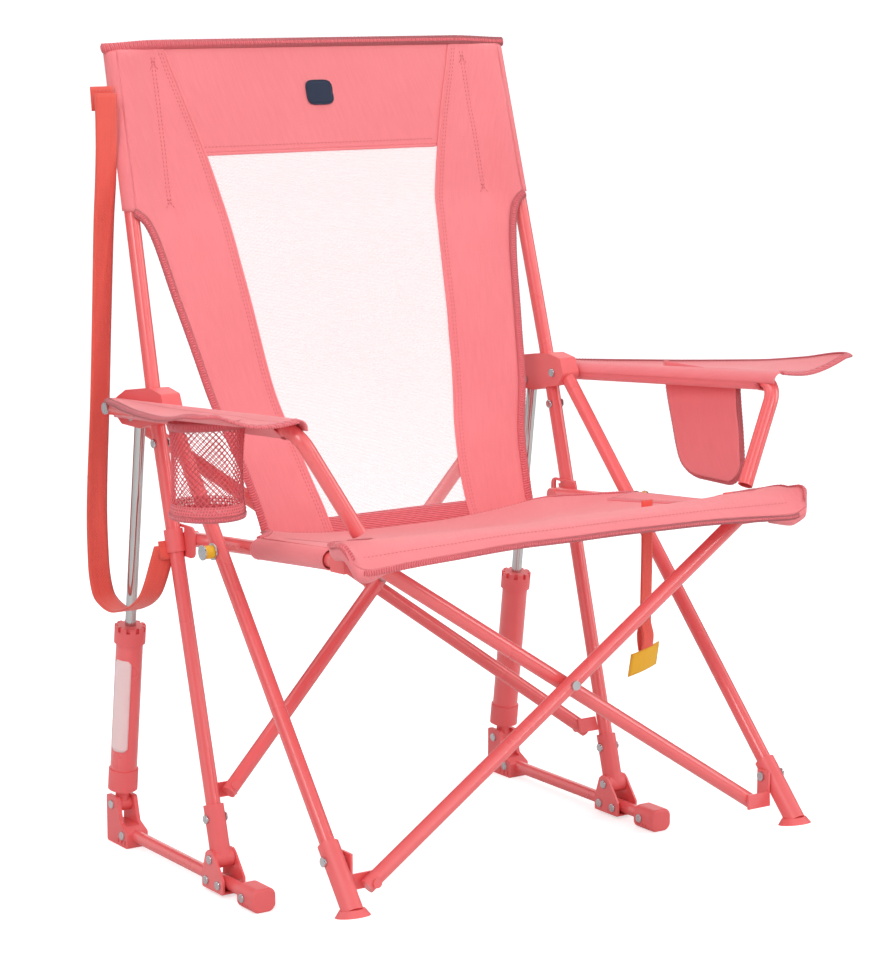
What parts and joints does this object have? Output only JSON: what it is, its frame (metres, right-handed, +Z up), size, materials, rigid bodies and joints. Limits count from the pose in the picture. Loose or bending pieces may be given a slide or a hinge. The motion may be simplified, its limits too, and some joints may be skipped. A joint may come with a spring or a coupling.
{
  "type": "folding camp rocking chair",
  "caption": "Folding camp rocking chair: tube frame on ground rails with spring cylinders, crossed braces, sling seat and back, arms with cup holder, pocket and straps.",
  "frame": {"origin": "on the floor, under the middle of the chair's width and depth", "axes": "+Z up; the chair faces -Y; +X is the sitter's left"},
  "size_m": [0.8144, 0.5594, 0.8889],
  "materials": {
    "frame_coat": "glossy coral powder coat",
    "moulding": "satin coral nylon",
    "steel": "bright zinc and chrome plate",
    "cloth": "coral woven polyester",
    "mesh_cloth": "open coral mesh",
    "webbing": "orange-red woven webbing",
    "accent": "yellow plastic",
    "tab_cloth": "yellow webbing tab"
  },
  "bodies": {
    "rail_left": {"ground_rail_left": "frame_coat", "rail_front_cap_left": "moulding", "rail_rear_bracket_left": "moulding", "pivot_bracket_left": "frame_coat", "rail_screws_left": "steel"},
    "cylinder_left": {"cylinder_foot_left": "moulding", "cylinder_barrel_left": "frame_coat", "cylinder_cap_left": "moulding"},
    "rod_left": {"piston_rod_left": "steel"},
    "frame_left": {"upright_left": "frame_coat", "upright_foot_left": "moulding", "front_leg_left": "frame_coat", "front_foot_left": "moulding", "arm_bracket_left": "moulding", "seat_lug_left": "moulding", "leg_bushing_left": "accent", "frame_screws_left": "steel", "rear_link_left": "frame_coat", "back_panel": "cloth", "carry_strap": "webbing"},
    "front_link_left": {"front_link_left": "frame_coat"},
    "seat_corner_left": {"seat_corner_left": "moulding"},
    "seat_rail_left": {"seat_rail_left": "frame_coat", "seat_panel": "cloth", "pull_strap": "webbing", "pull_tab": "tab_cloth"},
    "arm_left": {"arm_tube_left": "frame_coat", "arm_cloth_left": "cloth", "cup_holder": "mesh_cloth"},
    "rail_right": {"ground_rail_right": "frame_coat", "rail_front_cap_right": "moulding", "rail_rear_bracket_right": "moulding", "pivot_bracket_right": "frame_coat", "rail_screws_right": "steel"},
    "cylinder_right": {"cylinder_foot_right": "moulding", "cylinder_barrel_right": "frame_coat", "cylinder_cap_right": "moulding"},
    "rod_right": {"piston_rod_right": "steel"},
    "frame_right": {"upright_right": "frame_coat", "upright_foot_right": "moulding", "front_leg_right": "frame_coat", "front_foot_right": "moulding", "arm_bracket_right": "moulding", "seat_lug_right": "moulding", "leg_bushing_right": "accent", "frame_screws_right": "steel", "rear_link_right": "frame_coat"},
    "front_link_right": {"front_link_right": "frame_coat"},
    "seat_corner_right": {"seat_corner_right": "moulding"},
    "seat_rail_right": {"seat_rail_right": "frame_coat"},
    "arm_right": {"arm_tube_right": "frame_coat", "arm_cloth_right": "cloth", "side_pocket": "cloth"},
    "front_brace_front": {"front_brace_front": "frame_coat", "front_centre_bolt": "steel"},
    "front_brace_back": {"front_brace_back": "frame_coat"},
    "rear_brace_front": {"rear_brace_front": "frame_coat", "rear_centre_bolt": "steel"},
    "rear_brace_back": {"rear_brace_back": "frame_coat"}
  },
  "joints": [
    {"name": "rock", "type": "hinge", "parent": "rail_left", "child": "frame_left", "pos_m": [-0.262, 0.03363, 0.037], "axis": [-1, 0, 0], "range_deg": [-10.5, 10], "stiffness_Nm_per_rad": 70},
    {"name": "rock_right", "type": "hinge", "parent": "frame_right", "child": "rail_right", "pos_m": [0.262, 0.03363, 0.037], "axis": [1, 0, 0], "range_deg": [-10.5, 10]},
    {"name": "cylinder_tilt_left", "type": "hinge", "parent": "rail_left", "child": "cylinder_left", "pos_m": [-0.262, 0.25763, 0.044], "axis": [-1, 0, 0], "range_deg": [-9.95, 9.48]},
    {"name": "rod_slide_left", "type": "slide", "parent": "cylinder_left", "child": "rod_left", "axis": [0, -0.1327, 0.9912], "range_m": [-0.03872, 0.04066]},
    {"name": "cylinder_tilt_right", "type": "hinge", "parent": "rail_right", "child": "cylinder_right", "pos_m": [0.262, 0.25763, 0.044], "axis": [-1, 0, 0], "range_deg": [-9.95, 9.48]},
    {"name": "rod_slide_right", "type": "slide", "parent": "cylinder_right", "child": "rod_right", "axis": [0, -0.1327, 0.9912], "range_m": [-0.03872, 0.04066]},
    {"name": "fold", "type": "hinge", "parent": "front_link_left", "child": "front_brace_front", "pos_m": [-0.248, -0.23437, 0.081], "axis": [0, -0.9988, 0.0487], "range_deg": [0, 30], "deforming": ["seat_panel", "back_panel", "pull_strap", "pull_tab"]},
    {"name": "front_link_lean", "type": "hinge", "parent": "frame_left", "child": "front_link_left", "pos_m": [-0.279, -0.22462, 0.10391], "axis": [-1, 0, 0], "range_deg": [0, 9.12]},
    {"name": "front_cross", "type": "hinge", "parent": "front_brace_front", "child": "front_brace_back", "pos_m": [0, -0.22637, 0.245], "axis": [0, -0.9988, 0.0487], "range_deg": [-60, 0]},
    {"name": "front_brace_foot", "type": "hinge", "parent": "front_brace_back", "child": "front_link_right", "pos_m": [0.248, -0.23437, 0.081], "axis": [0, -0.9988, 0.0487], "range_deg": [0, 30]},
    {"name": "right_frame_lean", "type": "hinge", "parent": "front_link_right", "child": "frame_right", "pos_m": [0.279, -0.22462, 0.10391], "axis": [1, 0, 0], "range_deg": [0, 9.12]},
    {"name": "seat_corner_turn_right", "type": "hinge", "parent": "front_brace_front", "child": "seat_corner_right", "pos_m": [0.248, -0.21837, 0.409], "axis": [0, -0.9988, 0.0487], "range_deg": [-30, 0]},
    {"name": "seat_corner_turn_left", "type": "hinge", "parent": "front_brace_back", "child": "seat_corner_left", "pos_m": [-0.248, -0.21837, 0.409], "axis": [0, -0.9988, 0.0487], "range_deg": [0, 30]},
    {"name": "seat_lift_left", "type": "hinge", "parent": "seat_corner_left", "child": "seat_rail_left", "pos_m": [-0.243, -0.18509, 0.39336], "axis": [-1, 0, 0], "range_deg": [0, 30.27]},
    {"name": "seat_lift_right", "type": "hinge", "parent": "seat_corner_right", "child": "seat_rail_right", "pos_m": [0.243, -0.18509, 0.39336], "axis": [-1, 0, 0], "range_deg": [0, 30.27]},
    {"name": "arm_lift_left", "type": "hinge", "parent": "frame_left", "child": "arm_left", "pos_m": [-0.284, 0.21963, 0.5], "axis": [-1, 0, 0], "range_deg": [0, 37.5]},
    {"name": "arm_lift_right", "type": "hinge", "parent": "frame_right", "child": "arm_right", "pos_m": [0.284, 0.21963, 0.5], "axis": [-1, 0, 0], "range_deg": [0, 37.5]},
    {"name": "rear_brace_turn", "type": "hinge", "parent": "frame_left", "child": "rear_brace_front", "pos_m": [-0.238, 0.05763, 0.104], "axis": [0, -0.9214, 0.3885], "range_deg": [0, 26.65]},
    {"name": "rear_cross", "type": "hinge", "parent": "rear_brace_front", "child": "rear_brace_back", "pos_m": [0, 0.13563, 0.289], "axis": [0, -0.9214, 0.3885], "range_deg": [-53.29, 0]}
  ],
  "couplings": [
    {"joint": "rock_right", "follows": "rock", "ratio": 1},
    {"joint": "cylinder_tilt_left", "follows": "rock", "ratio": 0.948},
    {"joint": "rod_slide_left", "follows": "rock", "m_per_rad": -0.2218},
    {"joint": "cylinder_tilt_right", "follows": "rock", "ratio": 0.948},
    {"joint": "rod_slide_right", "follows": "rock", "m_per_rad": -0.2218},
    {"joint": "front_link_lean", "follows": "fold", "ratio": 0.30396},
    {"joint": "front_cross", "follows": "fold", "ratio": -2},
    {"joint": "front_brace_foot", "follows": "fold", "ratio": 1},
    {"joint": "right_frame_lean", "follows": "fold", "ratio": 0.30396},
    {"joint": "seat_corner_turn_right", "follows": "fold", "ratio": -1},
    {"joint": "seat_corner_turn_left", "follows": "fold", "ratio": 1},
    {"joint": "seat_lift_left", "follows": "fold", "ratio": 1.0089},
    {"joint": "seat_lift_right", "follows": "fold", "ratio": 1.0089},
    {"joint": "arm_lift_left", "follows": "fold", "ratio": 1.25},
    {"joint": "arm_lift_right", "follows": "fold", "ratio": 1.25},
    {"joint": "rear_brace_turn", "follows": "fold", "ratio": 0.88823},
    {"joint": "rear_cross", "follows": "fold", "ratio": -1.7765}
  ]
}
